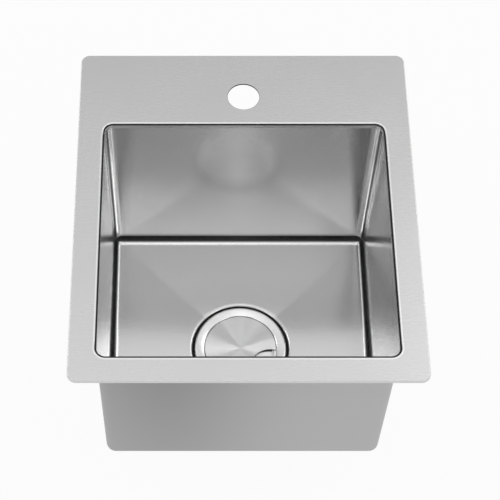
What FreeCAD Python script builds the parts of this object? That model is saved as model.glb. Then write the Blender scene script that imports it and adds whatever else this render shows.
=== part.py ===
import FreeCAD, Part
import operator
import os
from types import SimpleNamespace

import Sketcher

# A compact drop-in kitchen sink: a folded deck with a tap hole, a deep square bowl whose floor is
# creased towards the drain, a basket strainer with its waste fittings, and swing-out clips below the rim.
# Millimetres. The origin is the centre of the rim in the plane of the worktop, +Z is up and +Y is the back.

# Driving dimensions: alias, value, meaning
DIMENSIONS = (
    ("bowl_width", 320.0, "bowl inside, left to right"),
    ("bowl_length", 300.0, "bowl inside, front to back"),
    ("bowl_depth", 248.5, "top of the rim to the floor at the walls"),
    ("bowl_radius", 10.0, "inside radius of the bowl's corners and floor edges"),
    ("sheet_thickness", 1.5, "steel sheet of deck and bowl"),
    ("rim_border", 30.0, "rim beside and in front of the bowl opening"),
    ("rim_height", 4.0, "top of the rim above the worktop"),
    ("rim_corner_radius", 10.0, "outer corner of the rim, seen from above"),
    ("rim_edge_radius", 1.0, "rounding of the rim's outer top edge"),
    ("collar_height", 8.0, "top of the rim to the seam between deck and bowl"),
    ("opening_edge_radius", 2.0, "rolled edge of the bowl opening"),
    ("tap_hole_diameter", 37.0, "tap hole in the deck"),
    ("tap_to_opening", 39.0, "tap hole's axis to the bowl opening"),
    ("tap_to_back", 61.0, "tap hole's axis to the back edge of the rim"),
    ("floor_fall", 6.0, "fall of the floor's creases at the drain's axis"),
    ("drain_setback", 157.5, "back wall of the bowl to the drain's axis"),
    ("drain_seat_drop", 6.2, "floor at the walls to the drain seat"),
    ("drain_seat_wall", 2.5, "upright part of the drain seat's wall"),
    ("drain_seat_gap", 3.0, "strainer flange to the drain seat's wall"),
    ("rim_seal_setback", 2.5, "rim's outer edge to the foam seal"),
    ("rim_seal_gap", 2.0, "foam seal to the clip rails"),
    ("rail_gap", 3.0, "bowl wall to the clip rails"),
    ("rail_height", 10.0, "clip rail, outside height"),
    ("rail_wall", 1.2, "clip rail's wall"),
    ("rail_lip", 1.5, "width of the clip rail's lips beside the slot"),
    ("side_rail_length", 240.0, "left and right clip rails"),
    ("back_rail_length", 280.0, "back clip rail"),
    ("side_clip_spacing", 180.0, "between the two clips of a side rail"),
    ("back_clip_spacing", 220.0, "between the two clips of the back rail"),
    ("bolt_diameter", 6.0, "clip bolt's thread"),
    ("bolt_flat_depth", 0.5, "flats on both sides of the clip bolt"),
    ("bolt_head_height", 3.0, "clip bolt's round head"),
    ("bolt_tail", 3.0, "clip bolt below its nut"),
    ("bolt_clearance", 0.3, "clip bolt in the rail and in the claw"),
    ("claw_drop", 46.0, "worktop plane to the underside of the claw"),
    ("claw_thickness", 2.0, "claw's steel strap"),
    ("claw_width", 11.0, "claw's steel strap, width"),
    ("claw_reach", 30.0, "bolt axis to the claw's toothed end"),
    ("claw_heel", 6.0, "bolt axis to the claw's heel"),
    ("tooth_height", 6.0, "toothed end above the strap"),
    ("tooth_depth", 2.0, "notch between two teeth"),
    ("heel_height", 3.0, "heel above the strap"),
    ("clip_nut_corners", 11.5, "clip nut across corners"),
    ("clip_nut_height", 5.0, "clip nut"),
    ("thread_clearance", 0.1, "nuts and rings on their threads"),
    ("pad_thickness", 2.0, "sound pads"),
    ("pad_corner_radius", 8.0, "sound pads' corners"),
    ("side_pad_length", 176.0, "left and right sound pads, front to back"),
    ("back_pad_length", 200.0, "back sound pad, left to right"),
    ("wall_pad_drop", 70.0, "worktop plane to the top of the wall sound pads"),
    ("wall_pad_rise", 34.5, "bowl floor to the bottom of the wall sound pads"),
    ("floor_pad_length", 140.0, "floor sound pads, front to back"),
    ("floor_pad_margin", 8.0, "floor sound pads to the floor's radius and to the drain seat"),
    ("strainer_bore", 83.0, "strainer cup, inside"),
    ("strainer_wall", 1.5, "strainer cup's wall"),
    ("strainer_depth", 55.0, "strainer flange to the cup's underside"),
    ("strainer_clearance", 2.0, "strainer cup in the bowl's drain hole"),
    ("flange_width", 12.2, "strainer flange round the cap"),
    ("flange_edge", 0.8, "strainer flange's thickness at its edge"),
    ("flange_crest", 3.4, "strainer flange's thickness at its crest"),
    ("flange_dish", 1.3, "fall of the flange from its crest to the cap"),
    ("flange_slope", 3.0, "width of the flange's sloping edge"),
    ("flange_round", 4.0, "rounding of the flange's crest"),
    ("flange_gasket_thickness", 1.5, "gasket between flange and drain seat"),
    ("flange_gasket_margin", 2.5, "gasket's edge outside the flange's edge"),
    ("cap_overlap", 3.0, "drain cap on its shelf round the cup"),
    ("cap_thickness", 1.8, "drain cap's disc"),
    ("cap_edge_radius", 0.5, "rounding of the drain cap's top edge"),
    ("cap_clearance", 0.3, "drain cap in the flange"),
    ("cap_skirt_height", 3.0, "skirt below the drain cap"),
    ("cap_skirt_wall", 1.2, "drain cap skirt's wall"),
    ("cap_notch_radius", 24.0, "finger notch in the cap's edge"),
    ("cap_tab_thickness", 1.0, "sunken tab below the finger notch"),
    ("cap_notch_angle", -35.0, "direction of the finger notch, degrees from +X"),
    ("spigot_bore", 40.0, "strainer outlet, inside"),
    ("spigot_wall", 3.5, "strainer outlet's wall"),
    ("spigot_length", 16.0, "strainer outlet below the cup"),
    ("spider_width", 3.0, "bars across the outlet"),
    ("spider_height", 5.0, "bars across the outlet, height"),
    ("spider_boss_wall", 4.0, "wall of the boss that guides the basket's post"),
    ("under_gasket_thickness", 3.0, "rubber gasket below the bowl"),
    ("friction_ring_thickness", 1.0, "ring between gasket and lock nut"),
    ("clamp_ring_width", 12.0, "width of gasket and ring round the cup"),
    ("lock_nut_height", 12.0, "strainer's lock nut"),
    ("lug_width", 10.0, "lock nut's lugs, along the rim"),
    ("lug_reach", 5.0, "lock nut's lugs, outwards"),
    ("tail_washer_thickness", 2.0, "washer above the tailpiece"),
    ("tailpiece_diameter", 38.1, "waste tailpiece, outside"),
    ("tailpiece_wall", 1.2, "waste tailpiece's wall"),
    ("tailpiece_length", 76.0, "waste tailpiece below its neck"),
    ("tailpiece_flange", 1.5, "tailpiece's flange thickness"),
    ("tailpiece_neck", 0.4, "thicker neck of the tailpiece inside its nut"),
    ("coupling_nut_wall", 7.5, "coupling nut's thread to its corners"),
    ("coupling_nut_grip", 12.0, "coupling nut's thread on the outlet"),
    ("coupling_nut_lip", 3.0, "coupling nut's lip below the tailpiece flange"),
    ("basket_clearance", 0.5, "basket and cap skirt in the strainer cup"),
    ("basket_wall", 1.0, "basket's sheet"),
    ("basket_lip", 3.0, "basket's rim, width"),
    ("basket_taper", 5.0, "basket's bottom drawn in from its rim"),
    ("basket_top_drop", 6.0, "strainer flange to the basket's rim"),
    ("basket_slot_width", 3.0, "slots in the basket's side"),
    ("basket_slot_height", 22.0, "slots in the basket's side, height"),
    ("basket_hole_diameter", 4.0, "holes in the basket's bottom"),
    ("basket_hole_margin", 3.2, "basket's bottom edge to its circle of holes"),
    ("stopper_overlap", 7.0, "rubber stopper past the outlet's bore"),
    ("stopper_thickness", 4.0, "rubber stopper under the basket"),
    ("post_diameter", 6.0, "basket's centre post"),
    ("post_clearance", 0.3, "post in the spider's boss"),
    ("post_collar_diameter", 12.0, "post's collar on the basket's bottom"),
    ("post_collar_height", 3.0, "post's collar, height"),
    ("knob_diameter", 18.0, "basket's knob"),
    ("knob_height", 12.0, "basket's knob, height"),
    ("knob_edge_radius", 2.0, "rounding of the knob's top edge"),
    ("knob_drop", 10.0, "strainer flange to the top of the knob"),
    ("stopper_nut_corners", 11.0, "nut below the stopper, across corners"),
    ("stopper_nut_height", 4.0, "nut below the stopper"),
)

# Counts of repeated features
TEETH = 3
LUGS = 6
BASKET_SLOTS = 12
BASKET_HOLES = 20
HEXAGON_SIDES = 6
OCTAGON_SIDES = 8

# The floor's falling faces are modelled to this share of their length, which lies inside the drain hole.
CREASE_TIP_SHARE = 0.1

# Turns about Z that point a piece's X axis outwards from the bowl
RIGHT, BACK, LEFT = 0, 90, 180

TOLERANCE = 1e-4
OPERATORS = {"+": operator.add, "-": operator.sub, "*": operator.mul, "/": operator.truediv}


class Size:
    """A number together with the spreadsheet formula that gives it."""

    def __init__(self, value, formula):
        self.value = value
        self.formula = formula

    def combine(self, sign, other, swapped=False):
        if not isinstance(other, Size):
            other = Size(other, str(other))
        first, second = (other, self) if swapped else (self, other)
        value = OPERATORS[sign](first.value, second.value)
        return Size(value, f"({first.formula} {sign} {second.formula})")

    def __add__(self, other):
        return self.combine("+", other)

    def __sub__(self, other):
        return self.combine("-", other)

    def __mul__(self, other):
        return self.combine("*", other)

    def __rmul__(self, other):
        return self.combine("*", other, swapped=True)

    def __truediv__(self, other):
        return self.combine("/", other)

    def __neg__(self):
        return self.combine("-", 0, swapped=True)


doc = FreeCAD.newDocument("compact_sink")
sheet = doc.addObject("Spreadsheet::Sheet", "Sizes")
size = SimpleNamespace()
for row, (alias, value, meaning) in enumerate(DIMENSIONS, start=1):
    sheet.set(f"A{row}", meaning)
    sheet.set(f"B{row}", str(value))
    sheet.setAlias(f"B{row}", alias)
    setattr(size, alias, Size(value, f"Sizes.{alias}"))
doc.recompute()

ZERO = Size(0.0, "0")
nodes = []


# Helpers for placements, sketches and features

def bind(thing, path, length):
    """Tie one property of an object to its formula."""
    thing.setExpression(path, length.formula)


def place(node, label, x, y, z, turn):
    """Name a sub-part and put it where it belongs."""
    node.Label = label
    rotation = FreeCAD.Rotation(FreeCAD.Vector(0, 0, 1), turn)
    node.Placement = FreeCAD.Placement(FreeCAD.Vector(x.value, y.value, z.value), rotation)
    for axis, distance in zip("xyz", (x, y, z)):
        bind(node, f"Placement.Base.{axis}", distance)
    nodes.append(node)


def add_body(label, x=ZERO, y=ZERO, z=ZERO, turn=0.0):
    body = doc.addObject("PartDesign::Body", label)
    place(body, label, x, y, z, turn)
    return body


def origin_feature(body, role):
    return next(feature for feature in body.Origin.OriginFeatures if feature.Role == role)


def attach(feature, body, plane, offset=ZERO):
    """Lay a feature on one of its body's origin planes, moved along the plane's normal."""
    feature.AttachmentSupport = [(origin_feature(body, plane), "")]
    feature.MapMode = "FlatFace"
    bind(feature, "AttachmentOffset.Base.z", offset)


def add_sketch(body, name, plane="XY_Plane", offset=ZERO):
    sketch = body.newObject("Sketcher::SketchObject", name)
    attach(sketch, body, plane, offset)
    return sketch


def as_vector(point):
    return FreeCAD.Vector(point[0].value, point[1].value, 0)


def pin(sketch, kind, geometry, corner, distance):
    """Fix one distance of a sketch point from the sketch's origin."""
    index = sketch.addConstraint(Sketcher.Constraint(kind, -1, 1, geometry, corner, distance.value))
    bind(sketch, f"Constraints[{index}]", distance)


def pin_point(sketch, geometry, corner, point):
    pin(sketch, "DistanceX", geometry, corner, point[0])
    pin(sketch, "DistanceY", geometry, corner, point[1])


def join(sketch, geometry, next_geometry):
    sketch.addConstraint(Sketcher.Constraint("Coincident", geometry, 2, next_geometry, 1))


def line(sketch, start, end):
    return sketch.addGeometry(Part.LineSegment(as_vector(start), as_vector(end)), False)


def outline(sketch, points):
    """Draw a closed outline of straight lines through points given as sizes."""
    lines = [line(sketch, start, end) for start, end in zip(points, points[1:] + points[:1])]
    for side, next_side in zip(lines, lines[1:] + lines[:1]):
        join(sketch, side, next_side)
    for side, point in zip(lines, points):
        pin_point(sketch, side, 1, point)
    return sketch


def rectangle(sketch, width, depth, x=ZERO, y=ZERO):
    left, right = x - width / 2, x + width / 2
    near, far = y - depth / 2, y + depth / 2
    return outline(sketch, [(left, near), (right, near), (right, far), (left, far)])


def rounded_rectangle(sketch, width, depth, radius, y=ZERO):
    """Draw a rectangle, centred on the sketch's Y axis, with a quarter round at each corner."""
    left, right = -width / 2, width / 2
    near, far = y - depth / 2, y + depth / 2
    low, high = near + radius, far - radius
    west, east = left + radius, right - radius
    starts = [(west, near), (right, low), (east, far), (left, high)]
    ends = [(east, near), (right, high), (west, far), (left, low)]
    centres = [(east, low), (east, high), (west, high), (west, low)]
    quarter = Part.Circle().LastParameter / len(centres)
    sides, corners = [], []
    for number, (start, end, centre) in enumerate(zip(starts, ends, centres)):
        whole = Part.Circle(as_vector(centre), FreeCAD.Vector(0, 0, 1), radius.value)
        arc = Part.ArcOfCircle(whole, (number - 1) * quarter, number * quarter)
        sides.append(line(sketch, start, end))
        corners.append(sketch.addGeometry(arc, False))
    for side, corner, next_side, centre in zip(sides, corners, sides[1:] + sides[:1], centres):
        join(sketch, side, corner)
        join(sketch, corner, next_side)
        pin_point(sketch, corner, 3, centre)
    for side, start, end in zip(sides, starts, ends):
        pin_point(sketch, side, 1, start)
        if start[1] is end[1]:
            pin(sketch, "DistanceX", side, 2, end[0])
        else:
            pin(sketch, "DistanceY", side, 2, end[1])
    return sketch


def circle(sketch, diameter, x=ZERO, y=ZERO):
    whole = Part.Circle(as_vector((x, y)), FreeCAD.Vector(0, 0, 1), diameter.value / 2)
    loop = sketch.addGeometry(whole, False)
    index = sketch.addConstraint(Sketcher.Constraint("Diameter", loop, diameter.value))
    bind(sketch, f"Constraints[{index}]", diameter)
    pin_point(sketch, loop, 3, (x, y))
    return sketch


def pad(body, name, sketch, length, down=False):
    feature = body.newObject("PartDesign::Pad", name)
    feature.Profile = sketch
    feature.Reversed = down
    bind(feature, "Length", length)
    doc.recompute()
    return feature


def pocket(body, name, sketch, length=None, up=False):
    """Cut against the sketch's normal, or along it; with no length the cut goes right through."""
    before = body.Shape.Volume
    feature = body.newObject("PartDesign::Pocket", name)
    feature.Profile = sketch
    feature.Reversed = up
    if length is None:
        feature.Type = "ThroughAll"
    else:
        bind(feature, "Length", length)
    doc.recompute()
    if feature.Shape.Volume > before - TOLERANCE:
        raise RuntimeError(f"{name} cuts nothing")
    return feature


def revolve(body, name, points):
    """Turn a closed outline of (radius, height) points round the body's Z axis."""
    sketch = outline(add_sketch(body, f"{name}_profile", "XZ_Plane"), points)
    feature = body.newObject("PartDesign::Revolution", name)
    feature.Profile = sketch
    feature.ReferenceAxis = (sketch, ["V_Axis"])
    feature.Angle = 360
    doc.recompute()
    return feature


def fillet(body, name, base, radius, chosen):
    """Round the edges of a feature that a test picks out."""
    edges = [f"Edge{number}" for number, edge in enumerate(base.Shape.Edges, start=1) if chosen(edge)]
    if not edges:
        raise RuntimeError(f"{name} has no edges")
    feature = body.newObject("PartDesign::Fillet", name)
    feature.Base = (base, edges)
    bind(feature, "Radius", radius)
    doc.recompute()
    return feature


def repeat_round(body, name, feature, count):
    pattern = body.newObject("PartDesign::PolarPattern", name)
    pattern.Originals = [feature]
    pattern.Axis = (origin_feature(body, "Z_Axis"), [""])
    pattern.Angle = 360
    pattern.Occurrences = count
    body.Tip = pattern
    doc.recompute()
    return pattern


def ring(label, bore, outside, bottom, height):
    """A flat ring round the drain's axis."""
    body = add_body(label, y=drain_y, z=bottom)
    sketch = add_sketch(body, f"{label}_outline")
    circle(sketch, outside)
    circle(sketch, bore)
    pad(body, f"{label}_pad", sketch, height)
    return body


def prism_nut(label, sides, corners, height, bores, x, y, bottom, turn=0.0):
    """A nut cut from a prism; each bore is a (radius, height above the nut's underside)."""
    blank = doc.addObject("Part::Prism", f"{label}_blank")
    blank.Polygon = sides
    bind(blank, "Circumradius", corners / 2)
    bind(blank, "Height", height)
    shape = blank
    for number, (radius, start) in enumerate(bores, start=1):
        bore = doc.addObject("Part::Cylinder", f"{label}_bore_{number}")
        bind(bore, "Radius", radius)
        bind(bore, "Height", height)
        bind(bore, "Placement.Base.z", start)
        cut = doc.addObject("Part::Cut", f"{label}_cut_{number}")
        cut.Base = shape
        cut.Tool = bore
        shape = cut
    place(shape, label, x, y, bottom, turn)
    doc.recompute()


# Tests that pick edges

def at_level(edge, z):
    return all(abs(vertex.Point.z - z.value) < TOLERANCE for vertex in edge.Vertexes)


def is_upright(edge):
    run = edge.Vertexes[-1].Point - edge.Vertexes[0].Point
    return run.Length > TOLERANCE and run.Length - abs(run.z) < TOLERANCE


def is_round(edge, radius):
    return isinstance(edge.Curve, Part.Circle) and abs(edge.Curve.Radius - radius.value) < TOLERANCE


def within(edge, width, depth, y):
    """True where the middle of an edge lies in or on a rectangle seen from above."""
    middle = edge.valueAt((edge.FirstParameter + edge.LastParameter) / 2)
    beside = abs(middle.x) < width.value / 2 + TOLERANCE
    return beside and abs(middle.y - y.value) < depth.value / 2 + TOLERANCE


# Sizes and places that several pieces share

sheet_twice = 2 * size.sheet_thickness
deck_depth = size.tap_to_opening + size.tap_to_back
rim_width = size.bowl_width + 2 * size.rim_border
rim_depth = size.bowl_length + size.rim_border + deck_depth
rim_top = size.rim_height
deck_under = rim_top - size.sheet_thickness
bowl_top = rim_top - size.collar_height
floor = rim_top - size.bowl_depth
drain_seat = floor - size.drain_seat_drop
drain_seat_under = drain_seat - size.sheet_thickness
flange_base = drain_seat + size.flange_gasket_thickness
opening_back = rim_depth / 2 - deck_depth
bowl_y = opening_back - size.bowl_length / 2
drain_y = opening_back - size.drain_setback
tap_y = opening_back + size.tap_to_opening
flat_half_width = size.bowl_width / 2 - size.bowl_radius
flat_half_length = size.bowl_length / 2 - size.bowl_radius

cup_outside = size.strainer_bore + 2 * size.strainer_wall
drain_hole = cup_outside + 2 * size.strainer_clearance
cap_diameter = size.strainer_bore + 2 * size.cap_overlap
cap_seat = cap_diameter / 2 + size.cap_clearance
flange_diameter = 2 * (cap_seat + size.flange_width)
drain_seat_diameter = flange_diameter + 2 * size.drain_seat_gap

slot_half = size.bolt_diameter / 2 + size.bolt_clearance
rail_half = slot_half + size.rail_lip + size.rail_wall
rail_setback = size.rim_border - size.sheet_thickness - size.rail_gap - rail_half
side_rail_x = rim_width / 2 - rail_setback
back_rail_y = rim_depth / 2 - rail_setback


# Deck: a flat sheet with a turned-down lip, a rolled collar round the bowl opening and a tap hole

def make_deck():
    body = add_body("deck_rim")
    outside = add_sketch(body, "rim_outline")
    rounded_rectangle(outside, rim_width, rim_depth, size.rim_corner_radius)
    pad(body, "rim", outside, size.rim_height)
    hollow = add_sketch(body, "rim_hollow_outline")
    rounded_rectangle(hollow, rim_width - sheet_twice, rim_depth - sheet_twice,
                      size.rim_corner_radius - size.sheet_thickness)
    pocket(body, "rim_hollow", hollow, deck_under, up=True)
    collar = add_sketch(body, "collar_outline", offset=rim_top)
    rounded_rectangle(collar, size.bowl_width + sheet_twice, size.bowl_length + sheet_twice,
                      size.bowl_radius + size.sheet_thickness, bowl_y)
    pad(body, "collar", collar, size.collar_height, down=True)
    opening = add_sketch(body, "opening_outline", offset=rim_top)
    rounded_rectangle(opening, size.bowl_width, size.bowl_length, size.bowl_radius, bowl_y)
    pocket(body, "bowl_opening", opening)
    tap_hole = circle(add_sketch(body, "tap_hole_outline", offset=rim_top), size.tap_hole_diameter, y=tap_y)
    holed = pocket(body, "tap_hole", tap_hole)

    def on_opening(edge):
        return at_level(edge, rim_top) and within(edge, size.bowl_width, size.bowl_length, bowl_y)

    def on_rim(edge):
        inner = within(edge, rim_width - size.rim_border, rim_depth - size.rim_border, ZERO)
        return at_level(edge, rim_top) and not inner

    rolled = fillet(body, "rolled_edge", holed, size.opening_edge_radius, on_opening)
    fillet(body, "rim_edge", rolled, size.rim_edge_radius, on_rim)


make_deck()


# Bowl: folded sheet with a creased floor that falls to the pressed drain seat

def crease_wedge(body, name, kind, below):
    """The floor's four falling faces, as an upside-down pyramid from the floor's edge to the drain."""
    wedge = body.newObject(kind, name)
    turn_down = FreeCAD.Rotation(FreeCAD.Vector(1, 0, 0), -90)
    wedge.AttachmentOffset = FreeCAD.Placement(FreeCAD.Vector(0, 0, 0), turn_down)
    attach(wedge, body, "XY_Plane", floor - below)
    near, far = bowl_y - flat_half_length, bowl_y + flat_half_length
    share = CREASE_TIP_SHARE
    limits = {
        "Xmin": -flat_half_width,
        "Xmax": flat_half_width,
        "Ymin": ZERO,
        "Ymax": size.floor_fall * (1 - share),
        "Zmin": near,
        "Zmax": far,
        "X2min": -flat_half_width * share,
        "X2max": flat_half_width * share,
        "Z2min": drain_y + (near - drain_y) * share,
        "Z2max": drain_y + (far - drain_y) * share,
    }
    for limit, distance in limits.items():
        bind(wedge, limit, distance)
    doc.recompute()


def make_bowl():
    body = add_body("sink_bowl")
    wall = size.sheet_thickness
    outside = rectangle(add_sketch(body, "outside_outline", offset=bowl_top), size.bowl_width + sheet_twice,
                        size.bowl_length + sheet_twice, y=bowl_y)
    pad(body, "outside", outside, bowl_top - floor + wall, down=True)
    inside = rectangle(add_sketch(body, "inside_outline", offset=bowl_top), size.bowl_width,
                       size.bowl_length, y=bowl_y)
    hollow = pocket(body, "inside", inside, bowl_top - floor)

    def inner(edge):
        return within(edge, size.bowl_width, size.bowl_length, bowl_y)

    rounded = fillet(body, "inside_radius", hollow, size.bowl_radius,
                     lambda edge: inner(edge) and (is_upright(edge) or at_level(edge, floor)))
    fillet(body, "outside_radius", rounded, size.bowl_radius + wall,
           lambda edge: not inner(edge) and (is_upright(edge) or at_level(edge, floor - wall)))
    crease_wedge(body, "outside_creases", "PartDesign::AdditiveWedge", wall)
    boss = circle(add_sketch(body, "seat_outside_outline", offset=drain_seat_under),
                  drain_seat_diameter + sheet_twice, y=drain_y)
    pad(body, "seat_outside", boss, floor - drain_seat_under)
    crease_wedge(body, "inside_creases", "PartDesign::SubtractiveWedge", ZERO)
    seat = circle(add_sketch(body, "seat_outline", offset=floor), drain_seat_diameter, y=drain_y)
    pocket(body, "seat", seat, size.drain_seat_drop)
    bevel_height = size.drain_seat_drop - size.drain_seat_wall
    bevel = body.newObject("PartDesign::SubtractiveCone", "seat_bevel")
    attach(bevel, body, "XY_Plane", drain_seat + size.drain_seat_wall)
    bind(bevel, "AttachmentOffset.Base.y", drain_y)
    bind(bevel, "Radius1", drain_seat_diameter / 2)
    bind(bevel, "Radius2", drain_seat_diameter / 2 + bevel_height)
    bind(bevel, "Height", bevel_height)
    doc.recompute()
    hole = circle(add_sketch(body, "drain_hole_outline", offset=floor), drain_hole, y=drain_y)
    pocket(body, "drain_hole", hole)


make_bowl()


# Foam seal that lies on the worktop under the rim, between the lip and the clip rails

def make_rim_seal():
    body = add_body("rim_seal")
    outer = 2 * size.rim_seal_setback
    inner = 2 * (rail_setback - rail_half - size.rim_seal_gap)
    sketch = add_sketch(body, "rim_seal_outline")
    rounded_rectangle(sketch, rim_width - outer, rim_depth - outer,
                      size.rim_corner_radius - size.rim_seal_setback)
    rectangle(sketch, rim_width - inner, rim_depth - inner)
    pad(body, "rim_seal_pad", sketch, deck_under)


make_rim_seal()


# Clip rails: C-shaped channels welded under the deck; X points outwards and Y along the rail

def make_rail(label, length, x, y, turn):
    body = add_body(label, x, y, deck_under, turn)
    inner = rail_half - size.rail_wall
    web = -size.rail_wall
    lip = size.rail_wall - size.rail_height
    foot = -size.rail_height
    right_half = [(inner, web), (inner, lip), (slot_half, lip), (slot_half, foot), (rail_half, foot),
                  (rail_half, ZERO)]
    left_half = [(-x, z) for x, z in reversed(right_half)]
    sketch = outline(add_sketch(body, f"{label}_section", "XZ_Plane", -length / 2), right_half + left_half)
    pad(body, f"{label}_pad", sketch, length)


make_rail("clip_rail_right", size.side_rail_length, side_rail_x, bowl_y, RIGHT)
make_rail("clip_rail_left", size.side_rail_length, -side_rail_x, bowl_y, LEFT)
make_rail("clip_rail_back", size.back_rail_length, ZERO, back_rail_y, BACK)


# Clips: a round-headed bolt that hangs in the rail, a toothed claw keyed to its flats and a nut below

def make_bolt(spot, x, y, turn):
    body = add_body(f"clip_bolt_{spot}", x, y, ZERO, turn)
    seat = deck_under - size.rail_height + size.rail_wall
    length = seat + size.claw_drop + size.clip_nut_height + size.bolt_tail
    head_diameter = 2 * (rail_half - size.rail_wall - size.bolt_clearance)
    head = circle(add_sketch(body, f"bolt_head_{spot}_outline", offset=seat), head_diameter)
    pad(body, f"bolt_head_{spot}", head, size.bolt_head_height)
    shank = circle(add_sketch(body, f"bolt_shank_{spot}_outline", offset=seat), size.bolt_diameter)
    pad(body, f"bolt_shank_{spot}", shank, length, down=True)
    flats = add_sketch(body, f"bolt_flats_{spot}_outline", offset=seat)
    for side in (-1, 1):
        rectangle(flats, 2 * size.bolt_flat_depth, size.bolt_diameter, x=side * size.bolt_diameter / 2)
    pocket(body, f"bolt_flats_{spot}", flats, length)


def make_claw(spot, x, y, turn):
    body = add_body(f"clip_claw_{spot}", x, y, -size.claw_drop, turn)
    strap = size.claw_thickness
    tip, heel = -size.claw_reach, size.claw_heel
    heel_top, tooth_top = strap + size.heel_height, strap + size.tooth_height
    side = [(tip, ZERO), (heel, ZERO), (heel, heel_top), (heel - strap, heel_top), (heel - strap, strap),
            (tip + strap, strap), (tip + strap, tooth_top), (tip, tooth_top)]
    sketch = outline(add_sketch(body, f"claw_{spot}_side", "YZ_Plane", -size.claw_width / 2), side)
    pad(body, f"claw_{spot}_strap", sketch, size.claw_width)
    notches = add_sketch(body, f"claw_{spot}_notches_outline", "XZ_Plane")
    pitch = size.claw_width / TEETH
    for tooth in range(TEETH):
        start = pitch * tooth - size.claw_width / 2
        outline(notches, [(start, tooth_top), (start + pitch / 2, tooth_top - size.tooth_depth),
                          (start + pitch, tooth_top)])
    pocket(body, f"claw_{spot}_notches", notches, size.claw_reach, up=True)
    hole = add_sketch(body, f"claw_{spot}_hole_outline", offset=strap)
    keyed = size.bolt_diameter - 2 * size.bolt_flat_depth
    rectangle(hole, keyed + 2 * size.bolt_clearance, size.bolt_diameter + 2 * size.bolt_clearance)
    pocket(body, f"claw_{spot}_hole", hole)


def make_clip_nut(spot, x, y, turn):
    bore = (size.bolt_diameter / 2 + size.thread_clearance, ZERO)
    prism_nut(f"clip_nut_{spot}", HEXAGON_SIDES, size.clip_nut_corners, size.clip_nut_height, [bore], x, y,
              -(size.claw_drop + size.clip_nut_height), turn)


side_front, side_rear = bowl_y - size.side_clip_spacing / 2, bowl_y + size.side_clip_spacing / 2
CLIPS = (
    ("right_front", side_rail_x, side_front, RIGHT),
    ("right_rear", side_rail_x, side_rear, RIGHT),
    ("left_front", -side_rail_x, side_front, LEFT),
    ("left_rear", -side_rail_x, side_rear, LEFT),
    ("back_left", -size.back_clip_spacing / 2, back_rail_y, BACK),
    ("back_right", size.back_clip_spacing / 2, back_rail_y, BACK),
)
for clip in CLIPS:
    make_bolt(*clip)
    make_claw(*clip)
    make_clip_nut(*clip)


# Sound pads stuck to the outside of the bowl

wall_pad_height = -size.wall_pad_drop - floor - size.wall_pad_rise
wall_pad_middle = -size.wall_pad_drop - wall_pad_height / 2
bowl_side = size.bowl_width / 2 + size.sheet_thickness


def make_wall_pad(label, length, x, y, turn):
    """A pad on an upright wall; X points outwards from the wall."""
    body = add_body(label, x, y, wall_pad_middle, turn)
    sketch = add_sketch(body, f"{label}_outline", "YZ_Plane")
    rounded_rectangle(sketch, length, wall_pad_height, size.pad_corner_radius)
    pad(body, f"{label}_pad", sketch, size.pad_thickness)


def make_floor_pad(label, side):
    """A pad on one of the floor's falling faces, left (-1) or right (1) of the drain."""
    body = add_body(label, side * flat_half_width, bowl_y, floor - size.sheet_thickness)
    tilt_axis = FreeCAD.Vector(0, -side, 0)
    body.Placement = FreeCAD.Placement(body.Placement.Base, FreeCAD.Rotation(tilt_axis, 1.0))
    body.setExpression("Placement.Rotation.Angle", f"atan({(size.floor_fall / flat_half_width).formula})")
    inner_edge = drain_seat_diameter / 2 + size.sheet_thickness + size.floor_pad_margin
    width = flat_half_width - inner_edge - size.floor_pad_margin
    sketch = add_sketch(body, f"{label}_outline")
    rectangle(sketch, width, size.floor_pad_length, x=-side * (size.floor_pad_margin + width / 2))
    block = pad(body, f"{label}_pad", sketch, size.pad_thickness, down=True)
    fillet(body, f"{label}_corners", block, size.pad_corner_radius, is_upright)


make_wall_pad("sound_pad_right", size.side_pad_length, bowl_side, bowl_y, RIGHT)
make_wall_pad("sound_pad_left", size.side_pad_length, -bowl_side, bowl_y, LEFT)
make_wall_pad("sound_pad_back", size.back_pad_length, ZERO, opening_back + size.sheet_thickness, BACK)
make_floor_pad("sound_pad_floor_left", -1)
make_floor_pad("sound_pad_floor_right", 1)


# Strainer: a flanged cup with a guide spider in its outlet; heights are above the flange's underside

cup_under = -size.strainer_depth
cup_floor = cup_under + size.strainer_wall
spigot_end = cup_under - size.spigot_length
spigot_diameter = size.spigot_bore + 2 * size.spigot_wall
cap_flush = size.flange_crest - size.flange_dish
cap_shelf = cap_flush - size.cap_thickness


def make_strainer():
    body = add_body("strainer_body", y=drain_y, z=flange_base)
    bore, outside = size.strainer_bore / 2, cup_outside / 2
    flange, crest = flange_diameter / 2, flange_diameter / 2 - size.flange_slope
    spigot_in, spigot_out = size.spigot_bore / 2, spigot_diameter / 2
    cup = revolve(body, "strainer_cup", [
        (bore, cap_shelf), (cap_seat, cap_shelf), (cap_seat, cap_flush), (crest, size.flange_crest),
        (flange, size.flange_edge), (flange, ZERO), (outside, ZERO), (outside, cup_under),
        (spigot_out, cup_under), (spigot_out, spigot_end), (spigot_in, spigot_end), (spigot_in, cup_floor),
        (bore, cup_floor),
    ])
    fillet(body, "flange_round", cup, size.flange_round, lambda edge: is_round(edge, crest))
    span = size.spigot_bore + size.spigot_wall
    for name, width, depth in (("bar", span, size.spider_width), ("cross_bar", size.spider_width, span)):
        sketch = rectangle(add_sketch(body, f"{name}_outline", offset=spigot_end), width, depth)
        pad(body, name, sketch, size.spider_height)
    guide_bore = size.post_diameter + 2 * size.post_clearance
    boss = circle(add_sketch(body, "boss_outline", offset=spigot_end), guide_bore + 2 * size.spider_boss_wall)
    pad(body, "boss", boss, size.spider_height)
    guide = circle(add_sketch(body, "guide_outline", offset=spigot_end + size.spider_height), guide_bore)
    pocket(body, "guide", guide)


make_strainer()


# Clamping pieces between strainer and bowl

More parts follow.
